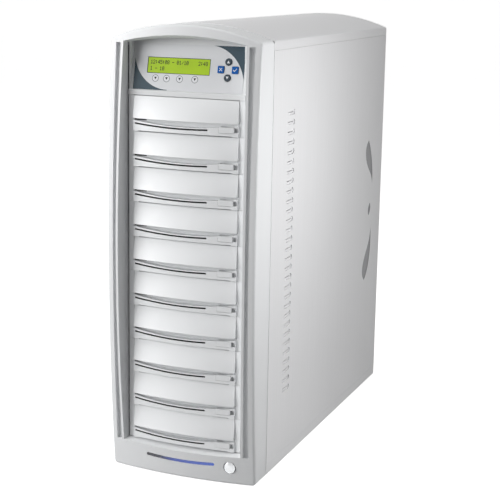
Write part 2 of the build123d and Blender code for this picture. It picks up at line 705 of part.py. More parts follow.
with BuildPart() as control_housing:
    with BuildSketch(side_plane(-HOUSING_HALF)):
        with BuildLine():
            Polyline(
                (COVER_Y - SILL_REACH, BAY_TOP + GAP),
                (COVER_Y - SILL_REACH, face_low - 1.2),
                (COVER_Y + FACE_SETBACK, face_low),
                (lean_y(HOUSING_TOP), HOUSING_TOP),
                (BEZEL_REAR, HOUSING_TOP),
                (BEZEL_REAR, cage_high),
                (casing_front - GAP, cage_high),
                (casing_front - GAP, BAY_TOP + GAP),
                close=True,
            )
        make_face()
    extrude(amount=2 * HOUSING_HALF)
    for side in (-1, 1):
        x0, x1 = sorted((side * (HOUSING_HALF - CHEEK), side * HOUSING_HALF))
        add(slab(x0, x1, COVER_Y + FACE_SETBACK, BEZEL_REAR, face_low, HOUSING_TOP))
    # hollow behind the face
    with BuildSketch(side_plane(-HOUSING_HALF + HOUSING_WALL)):
        with BuildLine():
            Polyline(
                (lean_y(face_low, FACE_SKIN), face_low),
                (lean_y(HOUSING_TOP - HOUSING_WALL, FACE_SKIN), HOUSING_TOP - HOUSING_WALL),
                (BEZEL_REAR + 1, HOUSING_TOP - HOUSING_WALL),
                (BEZEL_REAR + 1, face_low),
                close=True,
            )
        make_face()
    extrude(amount=2 * (HOUSING_HALF - HOUSING_WALL), mode=Mode.SUBTRACT)
    # posts that carry the board
    with BuildSketch(lean_sketch_plane(-FACE_SKIN + 0.5)):
        with Locations(*BOARD_POSTS):
            Circle(POST_R)
    extrude(amount=-(BOARD_BEHIND - FACE_SKIN + 0.5))
    # display window and key holes
    with BuildSketch(lean_sketch_plane(1)):
        with Locations(LCD_MIDDLE):
            Rectangle(LCD_W + 2 * GAP, LCD_H + 2 * GAP)
        for key in key_spots:
            add(key_outline(key, RUN))
    extrude(amount=-(FACE_SKIN + 2), mode=Mode.SUBTRACT)
save(control_housing.part, "control_housing")

with BuildPart() as control_overlay:
    with BuildSketch(lean_sketch_plane(0)):
        with Locations((0, OVERLAY_H / 2)):
            RectangleRounded(OVERLAY_W, OVERLAY_H, 1.0)
        with Locations(LCD_MIDDLE):
            Rectangle(LCD_W + 2 * GAP, LCD_H + 2 * GAP, mode=Mode.SUBTRACT)
        for key in key_spots:
            add(key_outline(key, RUN), mode=Mode.SUBTRACT)
    extrude(amount=OVERLAY_T)
save(control_overlay.part, "control_overlay")

with BuildPart() as lcd_module:
    with BuildSketch(lean_sketch_plane(-FACE_SKIN)):
        with Locations(LCD_MIDDLE):
            Rectangle(LCD_W, LCD_H)
    extrude(amount=FACE_SKIN + OVERLAY_T - LCD_SINK)
    with BuildSketch(lean_sketch_plane(-FACE_SKIN)):
        with Locations(LCD_MIDDLE):
            Rectangle(LCD_W + 6, LCD_H + 6)
    extrude(amount=-LCD_BACK)
save(lcd_module.part, "lcd_module")

for key in key_spots:
    with BuildPart() as key_part:
        with BuildSketch(lean_sketch_plane(-FACE_SKIN - RUN)):
            add(key_outline(key, 0))
        extrude(amount=FACE_SKIN + RUN + OVERLAY_T + KEY_PROUD)
        fillet(key_part.faces().sort_by(Axis.Y)[0].edges(), radius=0.3)
        with BuildSketch(lean_sketch_plane(-FACE_SKIN - RUN)):
            add(key_outline(key, KEY_FLANGE))
        extrude(amount=-1.2)
    save(key_part.part, key)

with BuildPart() as controller_board:
    with BuildSketch(lean_sketch_plane(-BOARD_BEHIND)):
        with Locations((0, BOARD_MIDDLE)):
            Rectangle(BOARD_W, BOARD_H)
    extrude(amount=-BOARD_T)
    with BuildSketch(lean_sketch_plane(-BOARD_BEHIND - BOARD_T)):
        for spot, wide, high in BOARD_CHIPS:
            with Locations(spot):
                Rectangle(wide, high)
    extrude(amount=-2.4)
save(controller_board.part, "controller_board")

# ---- base pan, top cover, side panels, rear panel
with BuildPart() as base_pan:
    pan_half = WIDTH / 2
    add(slab(-pan_half, pan_half, BEZEL_REAR, REAR_FACE, FOOT_HEIGHT, PAN_TOP - GAP))
    add(
        slab(
            -pan_half + FRAME_SHEET, pan_half - FRAME_SHEET, BEZEL_REAR - 1, REAR_FACE + 1,
            FOOT_HEIGHT + FRAME_SHEET, PAN_TOP,
        ),
        mode=Mode.SUBTRACT,
    )
    for side in (-1, 1):
        x0, x1 = sorted((side * (pan_half - 2 * FRAME_SHEET), side * (pan_half - FRAME_SHEET)))
        add(slab(x0, x1, BEZEL_REAR + LIP_INSET, REAR_FACE - LIP_INSET, PAN_TOP - 3, PAN_TOP + FOLD))
save(base_pan.part, "base_pan")

with BuildPart() as top_cover:
    with BuildSketch(front_plane(REAR_FACE)):
        with BuildLine():
            add(arched_outline(WIDTH / 2, PANEL_TOP, SHOULDER, ARCH_RISE))
        make_face()
        fillet(vertices().group_by(Axis.Y)[-1], radius=COVER_BEND)
        with BuildLine():
            add(arched_outline(INNER_HALF, PANEL_TOP - 1, SHOULDER - SHEET / 2, ARCH_RISE - SHEET / 2))
        make_face(mode=Mode.SUBTRACT)
    extrude(amount=REAR_FACE - BEZEL_REAR)
    for side in (-1, 1):
        x0, x1 = sorted((side * (INNER_HALF - FRAME_SHEET), side * INNER_HALF))
        add(slab(x0, x1, BEZEL_REAR + LIP_INSET, REAR_FACE - LIP_INSET, PANEL_TOP - FOLD, PANEL_TOP + 3))
save(top_cover.part, "top_cover")


louvre_zs = [LOUVRE_TOP - i * LOUVRE_PITCH for i in range(LOUVRE_COUNT)]
louvre_y = COVER_Y + LOUVRE_SETBACK


def side_panel(side):
    """One side sheet: louvres near the front, three pressed recesses near the rear."""
    outer = side * WIDTH / 2
    plane = side_plane(outer)
    inward = -side
    louvre_spots = [(louvre_y, z) for z in louvre_zs]
    with BuildPart() as sheet:
        x0, x1 = sorted((outer, side * INNER_HALF))
        add(slab(x0, x1, BEZEL_REAR, REAR_FACE, PAN_TOP, PANEL_TOP - GAP))
        with BuildSketch(plane):
            with Locations(*louvre_spots):
                SlotOverall(LOUVRE_L + 2 * SHEET, LOUVRE_H + 2 * SHEET)
        extrude(amount=inward * (PRESS_DEPTH + SHEET))
        with BuildSketch(plane):
            with Locations(*louvre_spots):
                SlotOverall(LOUVRE_L, LOUVRE_H)
        extrude(amount=inward * PRESS_DEPTH, mode=Mode.SUBTRACT)
        for outer_edge, inner_edge in (UPPER_DROP, OVAL, LOWER_DROP):
            with BuildSketch(plane):
                with BuildLine():
                    Spline(*[(COVER_Y + y, z) for y, z in outer_edge])
                    Spline(*[(COVER_Y + y, z) for y, z in inner_edge])
                make_face()
            extrude(amount=inward * DROP_DEPTH, mode=Mode.SUBTRACT)
        with BuildSketch(plane):
            with Locations(*louvre_spots):
                SlotOverall(LOUVRE_L - 6, LOUVRE_SLIT)
        extrude(amount=inward * (PRESS_DEPTH + 2 * SHEET), mode=Mode.SUBTRACT)
    return sheet.part


save(side_panel(1), "right_side_panel")
save(side_panel(-1), "left_side_panel")

inner_rear = REAR_FACE - FRAME_SHEET
with BuildPart() as rear_panel:
    with BuildSketch(front_plane(REAR_FACE)):
        with BuildLine():
            add(arched_outline(FRAME_HALF, PAN_FLOOR, SHOULDER - SHEET, ARCH_RISE - SHEET))
        make_face()
    extrude(amount=FRAME_SHEET)
    for side in (-1, 1):
        x0, x1 = sorted((side * (FRAME_HALF - FRAME_SHEET), side * FRAME_HALF))
        add(slab(x0, x1, REAR_FACE - FOLD, REAR_FACE, PAN_FLOOR, PANEL_TOP))
    with BuildSketch(front_plane(REAR_FACE)):
        with Locations((0, PSU_Z)):
            Rectangle(PSU_W - 8, PSU_H - 8)
        with Locations(*[(0, z) for z in FAN_ZS]):
            Circle(FAN_BORE_R)
        with Locations(*FAN_SCREWS, *PSU_SCREWS, *PANEL_SCREWS):
            Circle(SCREW_R + GAP)
    extrude(amount=FRAME_SHEET, mode=Mode.SUBTRACT)
save(rear_panel.part, "rear_panel")

# ---- power supply with its inlet and rocker switch
with BuildPart() as psu_case:
    psu_y0 = inner_rear - PSU_DEPTH
    add(slab(-PSU_W / 2, PSU_W / 2, psu_y0, inner_rear, PSU_Z - PSU_H / 2, PSU_Z + PSU_H / 2))
    add(
        slab(
            -PSU_W / 2 + SHEET, PSU_W / 2 - SHEET, psu_y0 + SHEET, inner_rear - SHEET,
            PSU_Z - PSU_H / 2 + SHEET, PSU_Z + PSU_H / 2 - SHEET,
        ),
        mode=Mode.SUBTRACT,
    )
    with BuildSketch(front_plane(inner_rear)):
        with Locations((MODULE_X, MODULE_Z)):
            Rectangle(MODULE_W + 2 * GAP, MODULE_H + 2 * GAP)
        with Locations((VENT_X, PSU_Z)):
            with HexLocations(VENT_PITCH / 2, VENT_COLS, VENT_ROWS):
                RegularPolygon(VENT_PITCH / 2 - 0.6, 6)
        with Locations(*PSU_SCREWS):
            Circle(SCREW_R + GAP)
    extrude(amount=2 * SHEET, mode=Mode.SUBTRACT)
save(psu_case.part, "psu_case")

rocker_y = inner_rear - ROCKER_SETBACK
with BuildPart() as psu_inlet:
    with BuildSketch(front_plane(inner_rear)):
        with Locations((MODULE_X, MODULE_Z)):
            RectangleRounded(MODULE_W + 4, MODULE_H + 4, 1.5)
    extrude(amount=-MODULE_FLANGE)
    with BuildSketch(front_plane(inner_rear)):
        with Locations((MODULE_X, MODULE_Z)):
            Rectangle(MODULE_W, MODULE_H)
    extrude(amount=MODULE_DEPTH)
    with BuildSketch(front_plane(inner_rear + MODULE_FLANGE)):
        with BuildLine():
            Polyline(*[(SOCKET_X + x, MODULE_Z + z) for x, z in SOCKET_CORNERS], close=True)
        make_face()
    extrude(amount=MODULE_FLANGE + SOCKET_DEPTH, mode=Mode.SUBTRACT)
    with BuildSketch(front_plane(inner_rear + MODULE_FLANGE)):
        with Locations((ROCKER_X, MODULE_Z)):
            Rectangle(ROCKER_W + 2 * RUN, ROCKER_H + 2 * RUN)
    extrude(amount=MODULE_FLANGE + ROCKER_POCKET, mode=Mode.SUBTRACT)
    # three blades in the socket
    with BuildSketch(front_plane(inner_rear - SOCKET_DEPTH)):
        with Locations((SOCKET_X, MODULE_Z + 2), (SOCKET_X - 7, MODULE_Z - 2), (SOCKET_X + 7, MODULE_Z - 2)):
            Rectangle(2, 4)
    extrude(amount=-BLADE_L)
    # the rocker's two pivot pins
    with BuildSketch(side_plane(ROCKER_X - ROCKER_W / 2 - RUN)):
        with Locations((rocker_y, MODULE_Z)):
            Circle(PIVOT_R)
    extrude(amount=ROCKER_W + 2 * RUN)
save(psu_inlet.part, "psu_inlet")

with BuildPart() as psu_rocker:
    with BuildSketch(side_plane(ROCKER_X - ROCKER_W / 2)):
        with BuildLine():
            Polyline(*[(rocker_y + y, MODULE_Z + z) for y, z in ROCKER_PROFILE], close=True)
        make_face()
        with Locations((rocker_y, MODULE_Z)):
            Circle(PIVOT_R + FIT, mode=Mode.SUBTRACT)
    extrude(amount=ROCKER_W)
save(psu_rocker.part, "psu_rocker")

# ---- exhaust fans: frame with a hub post, impeller, guard
fan_front = inner_rear - FAN_DEPTH
with BuildPart() as fan_frame:
    with BuildSketch(front_plane(inner_rear)):
        RectangleRounded(FAN_SIDE, FAN_SIDE, 6)
        Circle(FAN_BORE_R, mode=Mode.SUBTRACT)
        with GridLocations(FAN_HOLES, FAN_HOLES, 2, 2):
            Circle(SCREW_R + GAP, mode=Mode.SUBTRACT)
    extrude(amount=FAN_DEPTH)
    with BuildSketch(front_plane(inner_rear)):
        Circle(FAN_HUB_R)
        with PolarLocations((FAN_BORE_R + FAN_HUB_R) / 2, 4, start_angle=45):
            Rectangle(FAN_BORE_R - FAN_HUB_R + 4, 5)
    extrude(amount=FAN_STRUT)
    with BuildSketch(front_plane(inner_rear - FAN_STRUT)):
        Circle(FAN_POST_R)
    extrude(amount=FAN_POST)
with BuildPart() as fan_frames:
    with Locations(*[(0, 0, z) for z in FAN_ZS]):
        add(fan_frame.part)
save(fan_frames.part, "fan_frames")

wheel_rear = inner_rear - FAN_STRUT - RUN
with BuildPart(front_plane(wheel_rear - WHEEL_DEPTH / 2)) as blades:
    with PolarLocations((BLADE_TIP_R + FAN_HUB_R) / 2, BLADE_COUNT):
        Box(BLADE_TIP_R - FAN_HUB_R + 6, BLADE_CHORD, BLADE_T, rotation=(BLADE_PITCH, 0, 0))

with BuildPart() as impeller:
    with BuildSketch(front_plane(wheel_rear)):
        Circle(BLADE_TIP_R)
        Circle(FAN_HUB_R - 1, mode=Mode.SUBTRACT)
    extrude(amount=WHEEL_DEPTH)
    add(blades.part, mode=Mode.INTERSECT)
    with BuildSketch(front_plane(wheel_rear)):
        Circle(FAN_HUB_R)
    extrude(amount=WHEEL_DEPTH)
    with BuildSketch(front_plane(wheel_rear)):
        Circle(FAN_POST_R + FIT)
    extrude(amount=FAN_POST + 1, mode=Mode.SUBTRACT)
for name, z in zip(("upper_impeller", "lower_impeller"), sorted(FAN_ZS, reverse=True)):
    save(Pos(0, 0, z) * impeller.part, name)

hole_r = FAN_HOLES / math.sqrt(2)
with BuildPart() as guard:
    with BuildSketch(front_plane(REAR_FACE + GUARD_T)):
        for ring in range(GUARD_RINGS):
            radius = FAN_BORE_R - ring * (FAN_BORE_R - GUARD_HUB_R) / (GUARD_RINGS - 1)
            Circle(radius + GUARD_WIRE / 2)
            Circle(radius - GUARD_WIRE / 2, mode=Mode.SUBTRACT)
        with PolarLocations((hole_r + GUARD_HUB_R) / 2, 4, start_angle=45):
            Rectangle(hole_r - GUARD_HUB_R, GUARD_WIRE)
        with GridLocations(FAN_HOLES, FAN_HOLES, 2, 2):
            Circle(4)
            Circle(SCREW_R + GAP, mode=Mode.SUBTRACT)
    extrude(amount=GUARD_T)
with BuildPart() as fan_guards:
    with Locations(*[(0, 0, z) for z in FAN_ZS]):
        add(guard.part)
save(fan_guards.part, "fan_guards")

# ---- feet and screws
with BuildPart() as foot:
    with BuildSketch(Plane.XY):
        Circle(FOOT_R)
        Circle(FOOT_R / 3, mode=Mode.SUBTRACT)
    extrude(amount=FOOT_HEIGHT, taper=-4)
with BuildPart() as rubber_feet:
    with Locations(*[(x, y, 0) for x in (-FOOT_X, FOOT_X) for y in (BEZEL_REAR + FOOT_INSET, REAR_FACE - FOOT_INSET)]):
        add(foot.part)
save(rubber_feet.part, "rubber_feet")


def screw(place, facing, head_h, shank):
    """A pan-head screw: its head stands out of the seat, its shank goes in."""
    seat = Plane(origin=place, z_dir=facing)
    with BuildPart() as item:
        with BuildSketch(seat):
            Circle(HEAD_R)
        extrude(amount=head_h, taper=12)
        with BuildSketch(seat):
            Circle(SCREW_R)
        extrude(amount=-shank)
    return item.part


with BuildPart() as case_screws:
    for x, z in FAN_SCREWS:
        add(screw((x, REAR_FACE + GUARD_T, z), (0, 1, 0), HEAD_H, 12))
    for x, z in PSU_SCREWS + PANEL_SCREWS:
        add(screw((x, REAR_FACE, z), (0, 1, 0), HEAD_H, 6))
    for side in (-1, 1):
        for y in screw_ys:
            for _, _, lift in bay_steps:
                place = (side * cage_half, y, BAY_FLOOR + DRIVE_SCREW_Z + lift)
                add(screw(place, (side, 0, 0), HEAD_H, 3.5))
save(case_screws.part, "case_screws")
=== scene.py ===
import json
import math

import bmesh
import bpy
import numpy as np
from mathutils import Matrix, Vector

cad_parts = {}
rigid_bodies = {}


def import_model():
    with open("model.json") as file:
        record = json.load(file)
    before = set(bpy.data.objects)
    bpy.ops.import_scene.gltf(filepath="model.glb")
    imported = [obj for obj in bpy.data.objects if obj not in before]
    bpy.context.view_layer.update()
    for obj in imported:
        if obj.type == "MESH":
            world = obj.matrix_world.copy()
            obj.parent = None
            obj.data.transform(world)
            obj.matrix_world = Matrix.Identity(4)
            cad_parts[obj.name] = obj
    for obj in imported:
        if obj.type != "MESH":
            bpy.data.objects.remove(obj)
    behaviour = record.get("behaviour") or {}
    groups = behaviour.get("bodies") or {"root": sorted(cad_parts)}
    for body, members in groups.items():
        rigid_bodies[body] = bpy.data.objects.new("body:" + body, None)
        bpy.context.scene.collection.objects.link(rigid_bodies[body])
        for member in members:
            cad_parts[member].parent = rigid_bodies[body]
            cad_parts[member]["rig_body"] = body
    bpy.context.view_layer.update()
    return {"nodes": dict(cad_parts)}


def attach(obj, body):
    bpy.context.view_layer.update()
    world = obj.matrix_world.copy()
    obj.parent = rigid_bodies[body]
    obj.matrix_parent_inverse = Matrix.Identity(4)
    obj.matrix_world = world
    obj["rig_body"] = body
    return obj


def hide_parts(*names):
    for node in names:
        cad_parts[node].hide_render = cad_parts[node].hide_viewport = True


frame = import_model()

# Disc duplicator tower. Metres; +X is right, +Y is the back, +Z is up.
MM = 0.001
BAYS = range(1, 11)

# the tilted control face: its lower edge, its lean, and directions across it, up it and out of it
FACE_LEAN = math.radians(11.9)
FACE_FOOT = np.array((0.0, -235.0, 472.0)) * MM
FACE_ACROSS = np.array((1.0, 0.0, 0.0))
FACE_UP = np.array((0.0, math.sin(FACE_LEAN), math.cos(FACE_LEAN)))
FACE_OUT = np.array((0.0, -math.cos(FACE_LEAN), math.sin(FACE_LEAN)))

# how far these stand out of the control housing's face, in mm
FILM_TOP = 0.5
DISPLAY_TOP = 0.2
KEY_TOP = 1.4

# the drive bays, and the bowed lip of each cover: its foremost face and how it curves back
BAY_FLOOR = 40.2 * MM
BAY_PITCH = 42.5 * MM
LIP_FACE = -242.9 * MM
LIP_CURVE = 0.948               # metres of set-back for each square metre of x


# ---- node building
def fill(tree, socket, item):
    """Link an input to another socket, or set its own value."""
    if isinstance(item, bpy.types.NodeSocket):
        tree.links.new(item, socket)
    else:
        socket.default_value = item


def put_node(tree, kind, inputs=None, **settings):
    """Place a node, set its options, and fill its inputs with values or with links."""
    node = tree.nodes.new(kind)
    for name, setting in settings.items():
        setattr(node, name, setting)
    for key, item in (inputs or {}).items():
        fill(tree, node.inputs[key], item)
    return node


def maths(tree, operation, first, second=0.0, third=None):
    """One arithmetic step."""
    inputs = {0: first, 1: second}
    if third is not None:
        inputs[2] = third
    return put_node(tree, "ShaderNodeMath", inputs, operation=operation).outputs[0]


def swing(tree, item, amount, about):
    """A value swung about another: about + (item - 0.5) * amount."""
    return maths(tree, "MULTIPLY_ADD", maths(tree, "SUBTRACT", item, 0.5), amount, about)


def spread(tree, item, low, high, to_low, to_high):
    """A value carried from one range to another, held at both ends."""
    inputs = {"Value": item, "From Min": low, "From Max": high, "To Min": to_low, "To Max": to_high}
    return put_node(tree, "ShaderNodeMapRange", inputs).outputs[0]


def noise(tree, place, scale, detail):
    """Noise over a place, per metre."""
    inputs = {"Vector": place, "Scale": scale, "Detail": detail}
    return put_node(tree, "ShaderNodeTexNoise", inputs).outputs["Fac"]


def tinted(tree, colour, shade):
    """A colour made lighter or darker by a factor."""
    inputs = {0: colour, "Scale": shade}
    return put_node(tree, "ShaderNodeVectorMath", inputs, operation="SCALE").outputs[0]


def blended(tree, mask, first, second):
    """The first colour where the mask is 0, the second where it is 1."""
    return put_node(tree, "ShaderNodeMix", {0: mask, 6: first, 7: second}, data_type="RGBA").outputs[2]


def blended_value(tree, mask, first, second):
    """The first value where the mask is 0, the second where it is 1."""
    keep = maths(tree, "MULTIPLY", first, maths(tree, "SUBTRACT", 1.0, mask))
    return maths(tree, "MULTIPLY_ADD", second, mask, keep)


def between(tree, item, span):
    """The two tests that are both 1 where a value lies inside a span."""
    low, high = span
    return [maths(tree, "GREATER_THAN", item, low), maths(tree, "LESS_THAN", item, high)]


def all_hold(tree, tests):
    """The product of some tests: 1 where every one of them is 1."""
    mask = tests[0]
    for test in tests[1:]:
        mask = maths(tree, "MULTIPLY", mask, test)
    return mask


def own_place(tree):
    """The point in the piece's own coordinates."""
    return put_node(tree, "ShaderNodeTexCoord").outputs["Object"]


def seen_rays(tree):
    """1 for what the camera sees, directly, mirrored or through glass; 0 for light on the tower."""
    rays = put_node(tree, "ShaderNodeLightPath").outputs
    indirect = maths(tree, "MAXIMUM", rays["Is Glossy Ray"], rays["Is Transmission Ray"])
    return maths(tree, "MAXIMUM", rays["Is Camera Ray"], indirect)


# ---- effects that several materials share
def effect(name, inputs, outputs):
    """An empty node group with named inputs and outputs."""
    tree = bpy.data.node_groups.new(name, "ShaderNodeTree")
    for label, kind, value in inputs:
        socket = tree.interface.new_socket(name=label, in_out="INPUT", socket_type="NodeSocket" + kind)
        socket.default_value = value
    for label, kind in outputs:
        tree.interface.new_socket(name=label, in_out="OUTPUT", socket_type="NodeSocket" + kind)
    return tree, tree.nodes.new("NodeGroupInput").outputs, tree.nodes.new("NodeGroupOutput").inputs


SKIN_OUTPUTS = [("Colour", "Color"), ("Roughness", "Float"), ("Height", "Float")]


def skin_effect(name, colour, tone, extra):
    """An empty effect that gives a surface its colour, roughness and height."""
    inputs = [("Colour", "Color", (*colour, 1)), ("Tone", "Float", tone), ("Roughness", "Float", 0.4)]
    return effect(name, inputs + [extra], SKIN_OUTPUTS)


def make_moulded():
    """Moulded plastic: cloudy tone, uneven gloss and a fine sparked grain."""
    gloss_swing = 0.16
    tree, given, result = skin_effect(
        "moulded_plastic", (0.8, 0.8, 0.8), 0.02, ("Grain", "Float", 1500.0)
    )
    place = own_place(tree)
    cloud = noise(tree, place, scale=9.0, detail=3.0)
    fine = noise(tree, place, scale=given["Grain"], detail=1.0)
    rub = noise(tree, place, scale=40.0, detail=4.0)
    speck = swing(tree, fine, given["Tone"], swing(tree, cloud, given["Tone"], 1.0))
    tree.links.new(tinted(tree, given["Colour"], speck), result["Colour"])
    tree.links.new(swing(tree, rub, gloss_swing, given["Roughness"]), result["Roughness"])
    tree.links.new(fine, result["Height"])
    return tree


def make_brushed():
    """Brushed sheet: streaks drawn out along one direction, in tone, gloss and height."""
    hair_share, streak_share = 0.55, 0.45
    cloud_swing, gloss_swing = 0.05, 0.3
    tree, given, result = skin_effect(
        "brushed_sheet", (0.7, 0.7, 0.7), 0.1, ("Stretch", "Vector", (1.0, 1.0, 0.02))
    )
    place = own_place(tree)
    inputs = {0: place, 1: given["Stretch"]}
    drawn = put_node(tree, "ShaderNodeVectorMath", inputs, operation="MULTIPLY").outputs[0]
    hair = noise(tree, drawn, scale=2200.0, detail=2.0)
    streak = noise(tree, drawn, scale=260.0, detail=3.0)
    cloud = noise(tree, place, scale=7.0, detail=2.0)
    both = maths(
        tree, "ADD",
        maths(tree, "MULTIPLY", hair, hair_share), maths(tree, "MULTIPLY", streak, streak_share),
    )
    shade = swing(tree, cloud, cloud_swing, swing(tree, both, given["Tone"], 1.0))
    tree.links.new(tinted(tree, given["Colour"], shade), result["Colour"])
    tree.links.new(swing(tree, both, gloss_swing, given["Roughness"]), result["Roughness"])
    tree.links.new(both, result["Height"])
    return tree


def make_spangle():
    """Zinc-coated sheet: flat crystals of differing tone and gloss."""
    gloss_swing = 0.2
    tree, given, result = skin_effect(
        "zinc_spangle", (0.5, 0.5, 0.5), 0.25, ("Crystals", "Float", 180.0)
    )
    place = own_place(tree)
    inputs = {"Vector": place, "Scale": given["Crystals"], "Randomness": 1.0}
    cells = put_node(tree, "ShaderNodeTexVoronoi", inputs).outputs["Color"]
    tone = put_node(tree, "ShaderNodeSeparateColor", {0: cells}).outputs[0]
    pits = noise(tree, place, scale=900.0, detail=2.0)
    shade = swing(tree, tone, given["Tone"], 1.0)
    tree.links.new(tinted(tree, given["Colour"], shade), result["Colour"])
    tree.links.new(swing(tree, tone, gloss_swing, given["Roughness"]), result["Roughness"])
    tree.links.new(maths(tree, "ADD", tone, pits), result["Height"])
    return tree


def make_dust():
    """Dust that lies on faces that look up, in a patchy layer."""
    dust_colour = (0.32, 0.31, 0.29, 1)
    tree, given, result = effect(
        "settled_dust",
        [("Colour", "Color", (0.02, 0.02, 0.02, 1)), ("Amount", "Float", 0.2)],
        [("Colour", "Color")],
    )
    normal = put_node(tree, "ShaderNodeNewGeometry").outputs["Normal"]
    facing_up = put_node(tree, "ShaderNodeSeparateXYZ", {0: normal}).outputs[2]
    cloud = noise(tree, own_place(tree), scale=130.0, detail=4.0)
    patch = spread(tree, cloud, 0.35, 0.7, 0.25, 1.0)
    lying = spread(tree, facing_up, 0.1, 0.9, 0.15, 1.0)
    mask = maths(tree, "MULTIPLY", maths(tree, "MULTIPLY", patch, lying), given["Amount"])
    tree.links.new(blended(tree, mask, given["Colour"], dust_colour), result["Colour"])
    return tree


def make_face_place():
    """Places on the tilted control face, in mm: across it, up it, and out of it."""
    directions = {"Across": FACE_ACROSS, "Up": FACE_UP, "Out": FACE_OUT}
    tree, given, result = effect("face_place", [], [(label, "Float") for label in directions])
    inputs = {0: own_place(tree), 1: tuple(FACE_FOOT)}
    from_foot = put_node(tree, "ShaderNodeVectorMath", inputs, operation="SUBTRACT").outputs[0]
    for label, direction in directions.items():
        inputs = {0: from_foot, 1: tuple(direction / MM)}
        along = put_node(tree, "ShaderNodeVectorMath", inputs, operation="DOT_PRODUCT")
        tree.links.new(along.outputs["Value"], result[label])
    return tree


MOULDED = make_moulded()
BRUSHED = make_brushed()
SPANGLE = make_spangle()
DUST = make_dust()
FACE_PLACE = make_face_place()


# ---- materials
GRAIN_DEPTH = 0.02 * MM
FILM_DEPTH = 0.01 * MM
PLASTIC_RELIEF = 0.35
STEEL_RELIEF = 0.3
FILM_RELIEF = 0.25


def new_material(name, **sockets):
    """A material with one Principled shader whose plain values sit on its own sockets."""
    material = bpy.data.materials.new(name)
    material.use_nodes = True
    shader = material.node_tree.nodes["Principled BSDF"]
    for key, value in sockets.items():
        shader.inputs[key.replace("_", " ")].default_value = value
    return material, material.node_tree, shader


def place_effect(tree, group, **inputs):
    """One shared effect, with this material's own values."""
    return put_node(tree, "ShaderNodeGroup", inputs, node_tree=group).outputs


def relief(tree, shader, height, strength, distance):
    """A bump from a height, in metres of depth."""
    inputs = {"Height": height, "Strength": strength, "Distance": distance}
    bump = put_node(tree, "ShaderNodeBump", inputs)
    tree.links.new(bump.outputs["Normal"], shader.inputs["Normal"])


def plastic(name, colour, roughness, tone=0.03, grain=1500.0, dust=0.0, **sockets):
    """A moulded plastic, with dust on it if an amount is given."""
    material, tree, shader = new_material(name, **sockets)
    skin = place_effect(tree, MOULDED, Colour=(*colour, 1), Tone=tone, Roughness=roughness, Grain=grain)
    shown = skin["Colour"]
    if dust:
        shown = place_effect(tree, DUST, Colour=shown, Amount=dust)["Colour"]
    tree.links.new(shown, shader.inputs["Base Color"])
    tree.links.new(skin["Roughness"], shader.inputs["Roughness"])
    relief(tree, shader, skin["Height"], PLASTIC_RELIEF, GRAIN_DEPTH)
    return material


def steel(name, group, colour, roughness, tone, **sockets):
    """A sheet metal with a drawn or crystalline surface."""
    extra = {key: sockets.pop(key) for key in ("Stretch", "Crystals") if key in sockets}
    material, tree, shader = new_material(name, **sockets)
    skin = place_effect(tree, group, Colour=(*colour, 1), Tone=tone, Roughness=roughness, **extra)
    tree.links.new(skin["Colour"], shader.inputs["Base Color"])
    tree.links.new(skin["Roughness"], shader.inputs["Roughness"])
    relief(tree, shader, skin["Height"], STEEL_RELIEF, GRAIN_DEPTH)
    return material


# the film's two arcs, in mm on the face: centre across, centre up, radius, and 1 where the slate
# corner is the upper right one or -1 where it is the lower left one
FILM_ARCS = ((23.5, 7.6, 47.1, 1), (-25.4, 45.5, 44.9, -1))
ARC_BLUR = 0.1


def make_film():
    """The printed film: pale ground, and a slate corner outside each of two arcs."""
    material, tree, shader = new_material("printed_film", Specular_IOR_Level=0.3)
    finish = {"Roughness": 0.38, "Grain": 2800.0}
    skin = place_effect(tree, MOULDED, Colour=(0.76, 0.77, 0.79, 1), Tone=0.02, **finish)
    slate = place_effect(tree, MOULDED, Colour=(0.034, 0.063, 0.085, 1), Tone=0.12, **finish)
    face = place_effect(tree, FACE_PLACE)
    corners = []
    for centre_x, centre_up, radius, side in FILM_ARCS:
        across = maths(tree, "SUBTRACT", face["Across"], centre_x)
        up = maths(tree, "SUBTRACT", face["Up"], centre_up)
        squares = maths(tree, "MULTIPLY_ADD", up, up, maths(tree, "MULTIPLY", across, across))
        distance = maths(tree, "SQRT", squares)
        outside = spread(tree, distance, radius - ARC_BLUR, radius + ARC_BLUR, 0.0, 1.0)
        beside = maths(tree, "GREATER_THAN", maths(tree, "MULTIPLY", across, side), 0.0)
        beyond = maths(tree, "GREATER_THAN", maths(tree, "MULTIPLY", up, side), 0.0)
        corners.append(all_hold(tree, [outside, beside, beyond]))
    mask = maths(tree, "ADD", corners[0], corners[1])
    tree.links.new(blended(tree, mask, skin["Colour"], slate["Colour"]), shader.inputs["Base Color"])
    tree.links.new(skin["Roughness"], shader.inputs["Roughness"])
    relief(tree, shader, skin["Height"], FILM_RELIEF, FILM_DEPTH)
    return material


# the display, in mm on the face: its middle, where the painted shade along its rim begins to each side
# and up and down of the middle, and the depths between which the painted shade on its sides begins
DISPLAY_MIDDLE = (-12.9, 29.0)
RIM_ACROSS = (39.2, 39.6)
RIM_UP = (8.7, 9.0)
SIDE_SHADE_DEPTHS = (-1.0, -0.6)


